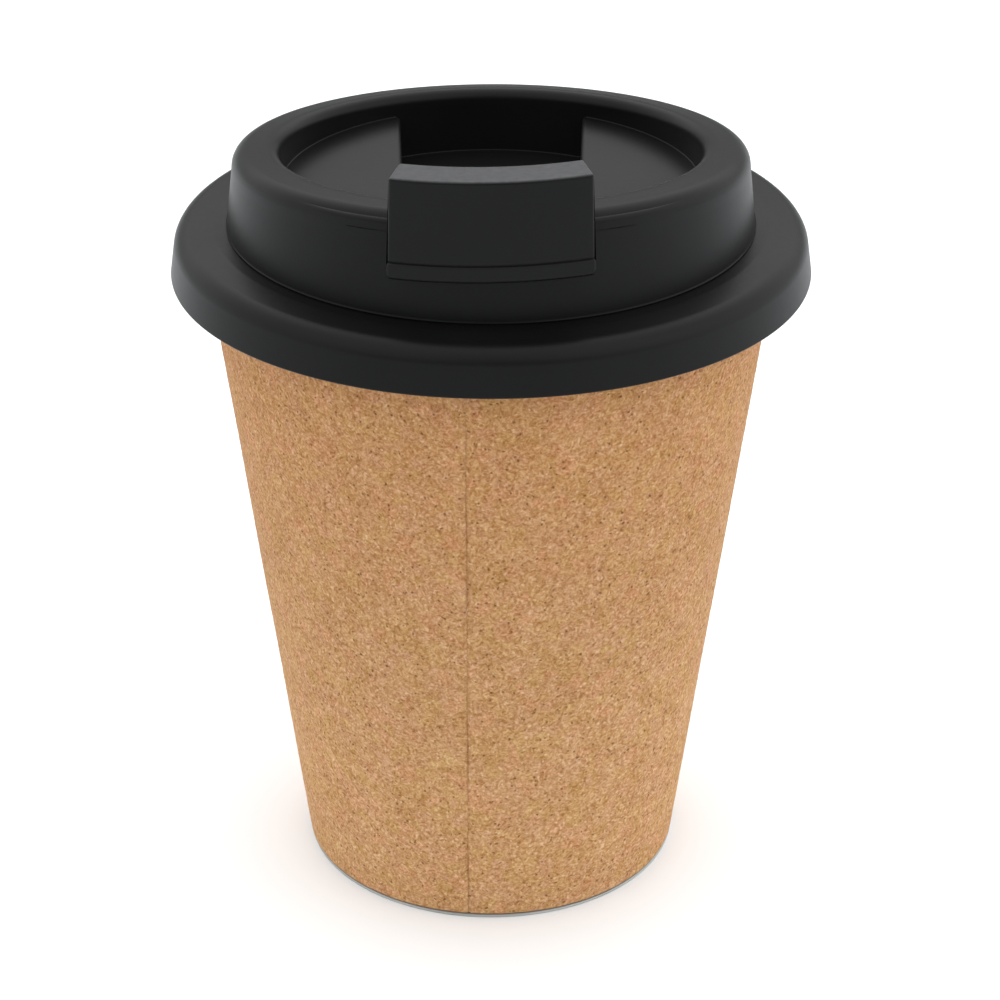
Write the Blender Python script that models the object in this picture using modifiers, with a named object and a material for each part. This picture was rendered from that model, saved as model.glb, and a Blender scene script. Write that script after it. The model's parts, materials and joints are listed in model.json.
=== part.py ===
"""Cork-clad travel cup with a push-on lid and a hinged flap that closes the sip hole.

Metres, +Z up. The origin is the centre of the base, where the cup stands. The sip hole and
the flap's tab are on the -Y side. The cup is a double plastic wall in a glued cork wrap. The
lid is a brim with a raised, leaning ring set in it. A flap on moulded trunnions lies in a
channel across the lid, climbs over the ring and ends in a thumb tab; flipped back, the tab
drops into the deep rear end of the channel.
"""

import math

import bmesh
import bpy

MM = 0.001

# General
FACETS = 60
SMALL_FACETS = 16
ARC_STEPS = 8
GAP = 0.3 * MM
OVERCUT = 2.0 * MM
WELD_DISTANCE = 0.001 * MM
SMOOTH_ANGLE = math.radians(30.0)

# Cup: the cork's outer face is a cone, and the walls inside follow it
CORK_FOOT_RADIUS = 29.3 * MM
CONE_FLARE = 0.1305
CORK_THICKNESS = 1.2 * MM
OUTER_WALL_THICKNESS = 1.0 * MM
AIR_SPACE = 1.3 * MM
LINER_THICKNESS = 1.2 * MM
OUTER_WALL_INSET = CORK_THICKNESS + GAP
LINER_INSET = OUTER_WALL_INSET + OUTER_WALL_THICKNESS + AIR_SPACE
WALLS_TOP = 100.5 * MM
SEAM_WIDTH = 0.25 * MM
SEAM_X = -3.5 * MM

# Base cap
CAP_EDGE_HEIGHT = 0.5 * MM
CAP_SPIGOT_HEIGHT = 3.0 * MM
CAP_SPIGOT_WALL = 1.7 * MM
CAP_FLOOR_TOP = 2.0 * MM
CAP_RECESS_RADIUS = 22.0 * MM
CAP_RECESS_DEPTH = 0.7 * MM

# Liner
LINER_FLOOR_UNDERSIDE = 3.6 * MM
LINER_FLOOR_TOP = 5.0 * MM
LINER_FLOOR_FILLET = 3.0 * MM
RIM_TOP = 102.3 * MM
RIM_RADIUS = 44.5 * MM
RIM_PLATE_UNDERSIDE = WALLS_TOP + GAP
RIM_LIP_LOW = 99.3 * MM
RIM_LIP_WALL = 1.3 * MM

# Lid brim
BRIM_RADIUS = 47.6 * MM
BRIM_LOW = 97.6 * MM
BRIM_DRAFT = 0.143
BRIM_WALL = 1.8 * MM
BRIM_TOP = 104.9 * MM
BRIM_TOP_FALL = 0.5 * MM
BRIM_FILLET = 2.2 * MM
BRIM_UNDERSIDE = 102.7 * MM

# Lid top: raised ring, dish and plug
RING_BASE = BRIM_TOP + GAP
RING_BASE_RADIUS = 39.15 * MM
RING_TOP_RADIUS = 37.8 * MM
RING_TOP = 116.5 * MM
RING_LEAN = 0.096
LEAN_ABOVE = 112.65 * MM
RING_OUTER_FILLET = 2.8 * MM
RING_INNER_FILLET = 1.2 * MM
RING_INNER_RADIUS = 31.0 * MM
RING_WALL = 1.9 * MM
RING_FOOT_INNER_RADIUS = 37.1 * MM
DISH_TOP = 110.65 * MM
DISH_THICKNESS = 2.0 * MM
NECK_RADIUS = 37.6 * MM
PLUG_RADIUS = 35.9 * MM
PLUG_WALL = 1.9 * MM
PLUG_LOW = 94.15 * MM

# Gasket round the plug
GASKET_GROOVE_LOW = 95.65 * MM
GASKET_GROOVE_HIGH = 99.65 * MM
GASKET_GROOVE_DEPTH = 0.9 * MM
GASKET_PROUD = 0.6 * MM

# Channel across the dish
CHANNEL_FLOOR = 103.85 * MM
CHANNEL_FLOOR_THICKNESS = 1.8 * MM
CHANNEL_HALF_WIDTH = 13.0 * MM
CHANNEL_TAPER = 0.04
CHANNEL_WALL = 2.4 * MM
CHANNEL_END_RADIUS = 30.7 * MM
CHANNEL_END_WALL = 1.8 * MM

# Flap hinge, along X
HINGE_Y = -9.0 * MM
HINGE_Z = 107.65 * MM
BARREL_RADIUS = 2.4 * MM
BARREL_HALF_LENGTH = 11.9 * MM
TRUNNION_RADIUS = 1.4 * MM
TRUNNION_HALF_LENGTH = 13.6 * MM

# Flap: arm in the channel, riser, strap over the ring, tab down its outside
FLAP_HALF_ANGLE = math.radians(19.4)
FLAP_FACETS = 7
ARM_LOW = 106.05 * MM
ARM_HIGH = 108.25 * MM
ARM_TAPER_START = 11.6 * MM
ARM_REACH_SHARE = 0.96
STUD_HOLE_DEPTH = 4 * OVERCUT
RISER_OUTER_RADIUS = 30.3 * MM
RISER_INNER_RADIUS = 28.2 * MM
STRAP_LOW = 121.05 * MM
STRAP_HIGH = 123.05 * MM
TAB_TOP = 126.65 * MM
TAB_LOW = 111.95 * MM
TAB_OUTER_RADIUS = 41.6 * MM
TAB_INNER_RADIUS = 39.25 * MM
TAB_BACK_RADIUS = 35.4 * MM
TAB_UNDERSIDE = 120.5 * MM
TAB_GROOVE = 114.65 * MM
TAB_LIP_PROUD = 0.15 * MM
TAB_EDGE = 0.5 * MM

# Sip hole and its plug
SIP_INNER_RADIUS = 33.3 * MM
SIP_OUTER_RADIUS = 36.0 * MM
SIP_HALF_ANGLE = math.radians(10.5)
SIP_PAD_INNER_RADIUS = 31.0 * MM
SIP_PAD_OUTER_RADIUS = 36.2 * MM
SIP_PAD_LOW = 120.25 * MM
SIP_NIB_LOW = 118.55 * MM
SIP_NIB_BACK_CLEARANCE = 0.7 * MM
SIP_NIB_FRONT_CLEARANCE = 0.4 * MM
SIP_NIB_TAPER = 0.5 * MM
SIP_NIB_HALF_ANGLE = math.radians(8.5)
SIP_STUD_Y = -32.6 * MM
SIP_STUD_RADIUS = 1.6 * MM
SIP_HEAD_RADIUS = 2.4 * MM
SIP_HEAD_HEIGHT = 0.8 * MM

# Vent hole and its plug
VENT_Y = -19.0 * MM
VENT_HOLE_RADIUS = 1.6 * MM
VENT_STUD_RADIUS = 1.2 * MM
VENT_HEAD_RADIUS = 2.2 * MM
VENT_HEAD_HEIGHT = 1.0 * MM
VENT_PAD_RADIUS = 2.6 * MM
VENT_NIB_LOW = 102.95 * MM

# Colours: (red, green, blue), roughness, metallic
FINISHES = {
    "cork": ((0.56, 0.33, 0.15), 0.85, 0.0),
    "lid_black": ((0.012, 0.012, 0.013), 0.42, 0.0),
    "liner_black": ((0.02, 0.02, 0.021), 0.5, 0.0),
    "base_grey": ((0.16, 0.16, 0.16), 0.55, 0.0),
    "silicone_grey": ((0.09, 0.09, 0.095), 0.6, 0.0),
}


def cone(z, inset=0.0):
    """Radius of the cork's outer cone at height z, less an inset."""
    return CORK_FOOT_RADIUS + CONE_FLARE * z - inset


def arc(centre_r, centre_z, radius, start_deg, end_deg, steps=4):
    """Points (r, z) along an arc of a turned profile."""
    points = []
    for i in range(steps + 1):
        angle = math.radians(start_deg + (end_deg - start_deg) * i / steps)
        points.append((centre_r + radius * math.cos(angle), centre_z + radius * math.sin(angle)))
    return points


# ---------------------------------------------------------------- scene set-up


def new_collection(name):
    collection = bpy.data.collections.new(name)
    bpy.context.scene.collection.children.link(collection)
    return collection


def make_material(name):
    colour, roughness, metallic = FINISHES[name]
    material = bpy.data.materials.new(name)
    material.use_nodes = True
    shader = material.node_tree.nodes["Principled BSDF"]
    shader.inputs["Base Color"].default_value = (*colour, 1.0)
    shader.inputs["Roughness"].default_value = roughness
    shader.inputs["Metallic"].default_value = metallic
    return material


for old in list(bpy.data.objects):
    bpy.data.objects.remove(old, do_unlink=True)
PARTS = new_collection("cork_travel_cup")
CUTTERS = new_collection("cutters")
MATERIALS = {name: make_material(name) for name in FINISHES}


def add_object(name, mesh, collection=PARTS):
    obj = bpy.data.objects.new(name, mesh)
    collection.objects.link(obj)
    if collection is CUTTERS:
        obj.hide_render = True
        obj.display_type = "WIRE"
    return obj


def finish(obj, material_name):
    """Gives a part its material and smooth shading."""
    obj.data.materials.clear()
    obj.data.materials.append(MATERIALS[material_name])
    obj.data.shade_smooth()
    obj.data.set_sharp_from_angle(angle=SMOOTH_ANGLE)
    return obj


# ---------------------------------------------------------------- shape makers


def bake(obj):
    """Replaces an object's modifiers by the mesh that they make."""
    graph = bpy.context.evaluated_depsgraph_get()
    mesh = bpy.data.meshes.new_from_object(obj.evaluated_get(graph))
    obj.modifiers.clear()
    obj.data = mesh


def turned(name, profile, closed=False, collection=PARTS, facets=FACETS):
    """Turns a profile of (r, z) points about Z. It runs down the shape's outer side."""
    mesh = bpy.data.meshes.new(name)
    edges = [(i, i + 1) for i in range(len(profile) - 1)]
    if closed:
        edges.append((len(profile) - 1, 0))
    mesh.from_pydata([(r, 0.0, z) for r, z in profile], edges, [])
    obj = add_object(name, mesh, collection)
    screw = obj.modifiers.new("turn", "SCREW")
    screw.axis = "Z"
    screw.steps = facets
    screw.render_steps = facets
    screw.use_merge_vertices = True
    screw.merge_threshold = WELD_DISTANCE
    bake(obj)
    return obj


def sector(name, profile, half_angle, facets, collection=PARTS):
    """Turns a closed profile of (r, z) points through an angle centred on -Y."""
    work = bmesh.new()
    start = -math.pi / 2 - half_angle
    ring = [work.verts.new((r * math.cos(start), r * math.sin(start), z)) for r, z in profile]
    face = work.faces.new(ring)
    bmesh.ops.spin(
        work,
        geom=[face, *face.edges, *face.verts],
        cent=(0.0, 0.0, 0.0),
        axis=(0.0, 0.0, 1.0),
        angle=2 * half_angle,
        steps=facets,
    )
    bmesh.ops.recalc_face_normals(work, faces=work.faces)
    mesh = bpy.data.meshes.new(name)
    work.to_mesh(mesh)
    work.free()
    return add_object(name, mesh, collection)


def plate(name, outline, low, high, collection=PARTS):
    """A flat outline of (x, y) points between two heights."""
    curve = bpy.data.curves.new(name, "CURVE")
    curve.dimensions = "2D"
    curve.fill_mode = "BOTH"
    curve.extrude = (high - low) / 2
    spline = curve.splines.new("POLY")
    spline.points.add(len(outline) - 1)
    for point, (x, y) in zip(spline.points, outline):
        point.co = (x, y, 0.0, 1.0)
    spline.use_cyclic_u = True
    drawn = bpy.data.objects.new(name + "_outline", curve)
    CUTTERS.objects.link(drawn)
    graph = bpy.context.evaluated_depsgraph_get()
    mesh = bpy.data.meshes.new_from_object(drawn.evaluated_get(graph))
    bpy.data.objects.remove(drawn, do_unlink=True)
    bpy.data.curves.remove(curve)
    work = bmesh.new()
    work.from_mesh(mesh)
    bmesh.ops.remove_doubles(work, verts=work.verts, dist=WELD_DISTANCE)
    bmesh.ops.recalc_face_normals(work, faces=work.faces)
    work.to_mesh(mesh)
    work.free()
    obj = add_object(name, mesh, collection)
    obj.location.z = (low + high) / 2
    return obj


def rod(name, radius, length, centre, axis="Z", collection=CUTTERS, facets=SMALL_FACETS):
    """A cylinder along X or Z about a centre point."""
    work = bmesh.new()
    bmesh.ops.create_cone(
        work, cap_ends=True, segments=facets, radius1=radius, radius2=radius, depth=length
    )
    mesh = bpy.data.meshes.new(name)
    work.to_mesh(mesh)
    work.free()
    obj = add_object(name, mesh, collection)
    obj.location = centre
    if axis == "X":
        obj.rotation_euler.y = math.pi / 2
    return obj


def box(name, size, centre, collection=CUTTERS):
    work = bmesh.new()
    bmesh.ops.create_cube(work, size=1.0)
    bmesh.ops.scale(work, vec=size, verts=work.verts)
    mesh = bpy.data.meshes.new(name)
    work.to_mesh(mesh)
    work.free()
    obj = add_object(name, mesh, collection)
    obj.location = centre
    return obj


def combine(obj, other, operation):
    """Joins another shape to a part, or cuts it out."""
    boolean = obj.modifiers.new(other.name, "BOOLEAN")
    boolean.operation = operation
    boolean.solver = "EXACT"
    boolean.object = other


def pivot(name, place, children):
    """An empty on a joint's axis, with the joint's pieces as its children."""
    empty = bpy.data.objects.new(name, None)
    PARTS.objects.link(empty)
    empty.location = place
    bpy.context.view_layer.update()
    for child in children:
        child.parent = empty
        child.matrix_parent_inverse = empty.matrix_world.inverted()
    return empty


# ---------------------------------------------------------------- cup


def base_cap():
    """Cap that closes the outer wall from below; its edge shows under the cork."""
    spigot_radius = cone(CAP_EDGE_HEIGHT, OUTER_WALL_INSET + OUTER_WALL_THICKNESS + GAP)
    edge_radius = cone(0.0)
    chamfer = 0.2 * MM
    profile = [
        (0.0, CAP_FLOOR_TOP),
        (spigot_radius - CAP_SPIGOT_WALL, CAP_FLOOR_TOP),
        (spigot_radius - CAP_SPIGOT_WALL, CAP_SPIGOT_HEIGHT),
        (spigot_radius - chamfer, CAP_SPIGOT_HEIGHT),
        (spigot_radius, CAP_SPIGOT_HEIGHT - chamfer),
        (spigot_radius, CAP_EDGE_HEIGHT),
        (edge_radius, CAP_EDGE_HEIGHT),
        (edge_radius, chamfer),
        (edge_radius - chamfer, 0.0),
        (CAP_RECESS_RADIUS, 0.0),
        (CAP_RECESS_RADIUS - CAP_RECESS_DEPTH, CAP_RECESS_DEPTH),
        (0.0, CAP_RECESS_DEPTH),
    ]
    return finish(turned("base_cap", profile), "base_grey")


def outer_wall():
    """Tapered plastic tube that the cork is glued to."""
    low = CAP_EDGE_HEIGHT + GAP
    inner = OUTER_WALL_INSET + OUTER_WALL_THICKNESS
    profile = [
        (cone(WALLS_TOP, OUTER_WALL_INSET), WALLS_TOP),
        (cone(low, OUTER_WALL_INSET), low),
        (cone(low, inner), low),
        (cone(WALLS_TOP, inner), WALLS_TOP),
    ]
    return finish(turned("outer_wall", profile, closed=True), "liner_black")


def cork_sleeve():
    """Cork wrap, butted at one upright seam."""
    low = CAP_EDGE_HEIGHT + GAP
    profile = [
        (cone(WALLS_TOP), WALLS_TOP),
        (cone(low), low),
        (cone(low, CORK_THICKNESS), low),
        (cone(WALLS_TOP, CORK_THICKNESS), WALLS_TOP),
    ]
    sleeve = turned("cork_sleeve", profile, closed=True)
    slit_height = WALLS_TOP + 2 * OVERCUT
    slit = box(
        "seam_slit",
        (SEAM_WIDTH, RIM_RADIUS, slit_height),
        (SEAM_X, -RIM_RADIUS / 2 - OVERCUT, WALLS_TOP / 2),
    )
    combine(sleeve, slit, "DIFFERENCE")
    return finish(sleeve, "cork")


def inner_cup():
    """Liner that holds the drink, with a rim that covers both walls and the cork."""
    inner = LINER_INSET + LINER_THICKNESS
    floor_radius = cone(LINER_FLOOR_TOP + LINER_FLOOR_FILLET, inner)
    rim_edge = 0.6 * MM
    mouth_edge = 0.5 * MM
    profile = [(0.0, LINER_FLOOR_TOP)]
    profile += arc(
        floor_radius - LINER_FLOOR_FILLET,
        LINER_FLOOR_TOP + LINER_FLOOR_FILLET,
        LINER_FLOOR_FILLET,
        -90.0,
        0.0,
    )
    profile += [
        (cone(RIM_TOP - mouth_edge, inner), RIM_TOP - mouth_edge),
        (cone(RIM_TOP, inner) + mouth_edge, RIM_TOP),
        (RIM_RADIUS - rim_edge, RIM_TOP),
        (RIM_RADIUS, RIM_TOP - rim_edge),
        (RIM_RADIUS, RIM_LIP_LOW),
        (RIM_RADIUS - RIM_LIP_WALL, RIM_LIP_LOW),
        (RIM_RADIUS - RIM_LIP_WALL, RIM_PLATE_UNDERSIDE),
        (cone(RIM_PLATE_UNDERSIDE, LINER_INSET), RIM_PLATE_UNDERSIDE),
        (cone(LINER_FLOOR_TOP, LINER_INSET), LINER_FLOOR_TOP),
        (cone(LINER_FLOOR_UNDERSIDE, LINER_INSET + LINER_THICKNESS), LINER_FLOOR_UNDERSIDE),
        (0.0, LINER_FLOOR_UNDERSIDE),
    ]
    return finish(turned("inner_cup", profile), "liner_black")


# ---------------------------------------------------------------- lid


def lid_brim():
    """Broad brim whose skirt covers the cup's rim."""
    height = BRIM_TOP - BRIM_TOP_FALL - BRIM_LOW
    shoulder = BRIM_RADIUS - BRIM_DRAFT * height
    edge = 0.25 * MM
    hole = NECK_RADIUS + GAP
    inner_chamfer = 1.0 * MM
    inner_low = BRIM_RADIUS - BRIM_WALL
    inner_high = inner_low - BRIM_DRAFT * (BRIM_UNDERSIDE - BRIM_LOW)
    profile = [(hole, BRIM_TOP)]
    profile += arc(
        shoulder - BRIM_FILLET, BRIM_LOW + height - BRIM_FILLET, BRIM_FILLET, 90.0, 10.0
    )
    profile += [
        (BRIM_RADIUS, BRIM_LOW + edge),
        (BRIM_RADIUS - edge, BRIM_LOW),
        (inner_low, BRIM_LOW),
        (inner_high, BRIM_UNDERSIDE - inner_chamfer),
        (inner_high - inner_chamfer, BRIM_UNDERSIDE),
        (hole, BRIM_UNDERSIDE),
    ]
    return finish(turned("lid_brim", profile, closed=True), "lid_black")


def channel_half_width(y, extra):
    return CHANNEL_HALF_WIDTH + extra + CHANNEL_TAPER * y


def channel_outline(end_radius, extra):
    """Tapered channel seen from above, with round ends concentric with the ring."""
    base = CHANNEL_HALF_WIDTH + extra
    square = 1 + CHANNEL_TAPER**2
    reach = math.sqrt(square * end_radius**2 - base**2)
    points = []
    for side in (1, -1):
        y = (-base * CHANNEL_TAPER + side * reach) / square
        end = math.atan2(channel_half_width(y, extra), side * y)
        for i in range(ARC_STEPS + 1):
            angle = end * (1 - 2 * i / ARC_STEPS)
            points.append((side * end_radius * math.sin(angle), side * end_radius * math.cos(angle)))
    return points


def lean(obj):
    """Leans the ring's top down towards the back, away from the drinking side."""
    for vertex in obj.data.vertices:
        if vertex.co.z > LEAN_ABOVE:
            vertex.co.z -= RING_LEAN * vertex.co.y


def lid_top():
    """Raised ring, dish, flap channel and the plug wall that enters the cup."""
    roof = RING_TOP - RING_WALL
    plug_inner = PLUG_RADIUS - PLUG_WALL
    groove_radius = PLUG_RADIUS - GASKET_GROOVE_DEPTH
    dish_edge = 0.5 * MM
    lead_in = 0.5 * MM
    profile = [
        (0.0, DISH_TOP),
        (RING_INNER_RADIUS - dish_edge, DISH_TOP),
        (RING_INNER_RADIUS, DISH_TOP + dish_edge),
    ]
    profile += arc(
        RING_INNER_RADIUS + RING_INNER_FILLET, RING_TOP - RING_INNER_FILLET, RING_INNER_FILLET,
        180.0, 90.0, 3,
    )
    profile += arc(
        RING_TOP_RADIUS - RING_OUTER_FILLET, RING_TOP - RING_OUTER_FILLET, RING_OUTER_FILLET,
        90.0, 0.0,
    )
    profile += [
        (RING_BASE_RADIUS, RING_BASE),
        (NECK_RADIUS, RING_BASE),
        (NECK_RADIUS, BRIM_UNDERSIDE),
        (PLUG_RADIUS, BRIM_UNDERSIDE),
        (PLUG_RADIUS, GASKET_GROOVE_HIGH),
        (groove_radius, GASKET_GROOVE_HIGH),
        (groove_radius, GASKET_GROOVE_LOW),
        (PLUG_RADIUS, GASKET_GROOVE_LOW),
        (PLUG_RADIUS, PLUG_LOW + lead_in),
        (PLUG_RADIUS - lead_in, PLUG_LOW),
        (plug_inner, PLUG_LOW),
        (plug_inner, BRIM_UNDERSIDE - PLUG_WALL / 2),
        (RING_FOOT_INNER_RADIUS, RING_BASE + PLUG_WALL),
        (RING_TOP_RADIUS - RING_WALL, roof),
        (RING_INNER_RADIUS + RING_WALL, roof),
        (RING_INNER_RADIUS + RING_WALL, DISH_TOP - DISH_THICKNESS),
        (0.0, DISH_TOP - DISH_THICKNESS),
    ]
    top = turned("lid_top", profile)
    lean(top)
    block = plate(
        "channel_block",
        channel_outline(CHANNEL_END_RADIUS + CHANNEL_END_WALL, CHANNEL_WALL),
        CHANNEL_FLOOR - CHANNEL_FLOOR_THICKNESS,
        DISH_TOP - DISH_THICKNESS / 2,
        CUTTERS,
    )
    void = plate(
        "channel_void",
        channel_outline(CHANNEL_END_RADIUS, 0.0),
        CHANNEL_FLOOR,
        DISH_TOP + OVERCUT / 2,
        CUTTERS,
    )
    socket_length = 2 * (TRUNNION_HALF_LENGTH + GAP)
    sockets = rod(
        "trunnion_sockets", TRUNNION_RADIUS + GAP, socket_length, (0.0, HINGE_Y, HINGE_Z), "X"
    )
    sip_slot = sector(
        "sip_slot",
        [
            (SIP_INNER_RADIUS, DISH_TOP + OVERCUT),
            (SIP_OUTER_RADIUS, DISH_TOP + OVERCUT),
            (SIP_OUTER_RADIUS, TAB_TOP),
            (SIP_INNER_RADIUS, TAB_TOP),
        ],
        SIP_HALF_ANGLE,
        ARC_STEPS,
        CUTTERS,
    )
    vent = rod(
        "vent_hole",
        VENT_HOLE_RADIUS,
        2 * (CHANNEL_FLOOR_THICKNESS + OVERCUT),
        (0.0, VENT_Y, CHANNEL_FLOOR),
    )
    combine(top, block, "UNION")
    for cutter in (void, sockets, sip_slot, vent):
        combine(top, cutter, "DIFFERENCE")
    return finish(top, "lid_black")


def lid_gasket():
    """Silicone ring in the plug's groove, with a rounded sealing face."""
    low = GASKET_GROOVE_LOW + GAP
    high = GASKET_GROOVE_HIGH - GAP
    inner = PLUG_RADIUS - GASKET_GROOVE_DEPTH + GAP
    middle = (low + high) / 2
    profile = [(inner, high), (PLUG_RADIUS, high)]
    profile += [(PLUG_RADIUS + GASKET_PROUD, middle), (PLUG_RADIUS, low), (inner, low)]
    return finish(turned("lid_gasket", profile, closed=True), "silicone_grey")


# ---------------------------------------------------------------- flap


def arm_outline():
    """The arm seen from above: a round front end inside the riser, widening to the hinge."""
    radius = (RISER_OUTER_RADIUS + RISER_INNER_RADIUS) / 2
    points = [(-ARM_TAPER_START, HINGE_Y), (ARM_TAPER_START, HINGE_Y)]
    reach = FLAP_HALF_ANGLE * ARM_REACH_SHARE
    for i in range(FLAP_FACETS + 1):
        angle = reach * (1 - 2 * i / FLAP_FACETS)
        points.append((radius * math.sin(angle), -radius * math.cos(angle)))
    return points


def flap():
    """Arm, riser, strap and thumb tab in one moulding with its hinge barrel and trunnions."""
    lip = TAB_OUTER_RADIUS + TAB_LIP_PROUD
    profile = [
        (TAB_BACK_RADIUS + TAB_EDGE, TAB_TOP),
        (TAB_OUTER_RADIUS - TAB_EDGE, TAB_TOP),
        (TAB_OUTER_RADIUS, TAB_TOP - TAB_EDGE),
        (TAB_OUTER_RADIUS, TAB_GROOVE),
        (TAB_OUTER_RADIUS - TAB_LIP_PROUD, TAB_GROOVE - TAB_LIP_PROUD),
        (lip, TAB_GROOVE - 2 * TAB_LIP_PROUD),
        (lip, TAB_LOW + TAB_EDGE),
        (lip - TAB_EDGE, TAB_LOW),
        (TAB_INNER_RADIUS + TAB_EDGE, TAB_LOW),
        (TAB_INNER_RADIUS, TAB_LOW + TAB_EDGE),
        (TAB_INNER_RADIUS, TAB_UNDERSIDE - TAB_EDGE),
        (TAB_INNER_RADIUS - TAB_EDGE, TAB_UNDERSIDE),
        (SIP_PAD_OUTER_RADIUS + 2 * GAP, TAB_UNDERSIDE),
        (SIP_PAD_OUTER_RADIUS + GAP, STRAP_LOW),
        (RISER_OUTER_RADIUS + GAP, STRAP_LOW),
        (RISER_OUTER_RADIUS, STRAP_LOW - GAP),
        (RISER_OUTER_RADIUS, ARM_LOW),
        (RISER_INNER_RADIUS, ARM_LOW),
        (RISER_INNER_RADIUS, STRAP_HIGH - 2 * TAB_EDGE),
        (RISER_INNER_RADIUS + 2 * TAB_EDGE, STRAP_HIGH),
        (TAB_BACK_RADIUS - TAB_EDGE, STRAP_HIGH),
        (TAB_BACK_RADIUS, STRAP_HIGH + TAB_EDGE),
        (TAB_BACK_RADIUS, TAB_TOP - TAB_EDGE),
    ]
    body = sector("flap", profile, FLAP_HALF_ANGLE, FLAP_FACETS)
    arm = plate("flap_arm", arm_outline(), ARM_LOW, ARM_HIGH, CUTTERS)
    hinge = (0.0, HINGE_Y, HINGE_Z)
    barrel = rod("flap_barrel", BARREL_RADIUS, 2 * BARREL_HALF_LENGTH, hinge, "X")
    trunnions = rod("flap_trunnions", TRUNNION_RADIUS, 2 * TRUNNION_HALF_LENGTH, hinge, "X")
    for added in (arm, barrel, trunnions):
        combine(body, added, "UNION")
    sip_place = (0.0, SIP_STUD_Y, STRAP_LOW)
    sip_hole = rod("sip_stud_hole", SIP_STUD_RADIUS + GAP, STUD_HOLE_DEPTH, sip_place)
    vent_place = (0.0, VENT_Y, ARM_LOW)
    vent_hole = rod("vent_stud_hole", VENT_STUD_RADIUS + GAP, STUD_HOLE_DEPTH, vent_place)
    for cutter in (sip_hole, vent_hole):
        combine(body, cutter, "DIFFERENCE")
    return finish(body, "lid_black")


def sip_plug():
    """Silicone pad under the strap, with a nib in the sip hole and a stud through the strap."""
    pad_high = STRAP_LOW - GAP
    head_low = STRAP_HIGH + GAP
    head_high = head_low + SIP_HEAD_HEIGHT
    pad_profile = [
        (SIP_PAD_INNER_RADIUS, pad_high),
        (SIP_PAD_INNER_RADIUS, SIP_PAD_LOW),
        (SIP_PAD_OUTER_RADIUS, SIP_PAD_LOW),
        (SIP_PAD_OUTER_RADIUS, pad_high),
    ]
    pad_middle = (SIP_PAD_LOW + pad_high) / 2
    nib_back = SIP_INNER_RADIUS + SIP_NIB_BACK_CLEARANCE
    nib_front = SIP_OUTER_RADIUS - SIP_NIB_FRONT_CLEARANCE
    nib_profile = [
        (nib_back, pad_middle),
        (nib_back + SIP_NIB_TAPER, SIP_NIB_LOW),
        (nib_front - SIP_NIB_TAPER / 2, SIP_NIB_LOW),
        (nib_front, pad_middle),
    ]
    plug = sector("sip_plug", pad_profile, SIP_HALF_ANGLE, ARC_STEPS // 2)
    nib = sector("sip_nib", nib_profile, SIP_NIB_HALF_ANGLE, ARC_STEPS // 2, CUTTERS)
    stud_high = (head_low + head_high) / 2
    stud_middle = (0.0, SIP_STUD_Y, (pad_middle + stud_high) / 2)
    stud = rod("sip_stud", SIP_STUD_RADIUS, stud_high - pad_middle, stud_middle)
    head_middle = (0.0, SIP_STUD_Y, (head_low + head_high) / 2)
    head = rod("sip_head", SIP_HEAD_RADIUS, SIP_HEAD_HEIGHT, head_middle)
    for added in (nib, stud, head):
        combine(plug, added, "UNION")
    return finish(plug, "silicone_grey")


def vent_plug():
    """Silicone stopper pushed through the arm, with a nib in the vent hole."""
    head_low = ARM_HIGH + GAP
    head_high = head_low + VENT_HEAD_HEIGHT
    pad_high = ARM_LOW - GAP
    pad_low = CHANNEL_FLOOR + GAP
    edge = 0.2 * MM
    profile = [
        (0.0, head_high),
        (VENT_HEAD_RADIUS - edge, head_high),
        (VENT_HEAD_RADIUS, head_high - edge),
        (VENT_HEAD_RADIUS, head_low),
        (VENT_STUD_RADIUS, head_low),
        (VENT_STUD_RADIUS, pad_high),
        (VENT_PAD_RADIUS, pad_high),
        (VENT_PAD_RADIUS, pad_low),
        (VENT_HOLE_RADIUS - 2 * GAP, pad_low),
        (VENT_HOLE_RADIUS - 3 * GAP, VENT_NIB_LOW),
        (0.0, VENT_NIB_LOW),
    ]
    plug = turned("vent_plug", profile, facets=SMALL_FACETS)
    plug.location.y = VENT_Y
    return finish(plug, "silicone_grey")


# ---------------------------------------------------------------- assembly

base_cap()
outer_wall()
cork_sleeve()
inner_cup()
lid_pieces = [lid_brim(), lid_top(), lid_gasket()]
flap_pieces = [flap(), sip_plug(), vent_plug()]
lid_pivot = pivot("lid_lift", (0.0, 0.0, BRIM_LOW), lid_pieces)
flap_pivot = pivot("flap_hinge", (0.0, HINGE_Y, HINGE_Z), flap_pieces)
flap_pivot.parent = lid_pivot
flap_pivot.matrix_parent_inverse = lid_pivot.matrix_world.inverted()
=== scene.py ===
"""Looks of the cork travel cup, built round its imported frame.

Every visible piece is remade here at full smoothness, with its fillets, parting lines and
surface relief, in the place that the frame gives it. Profiles are written in millimetres.
"""

import json
import math

import bmesh
import bpy
from mathutils import Matrix, Vector, noise


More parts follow.
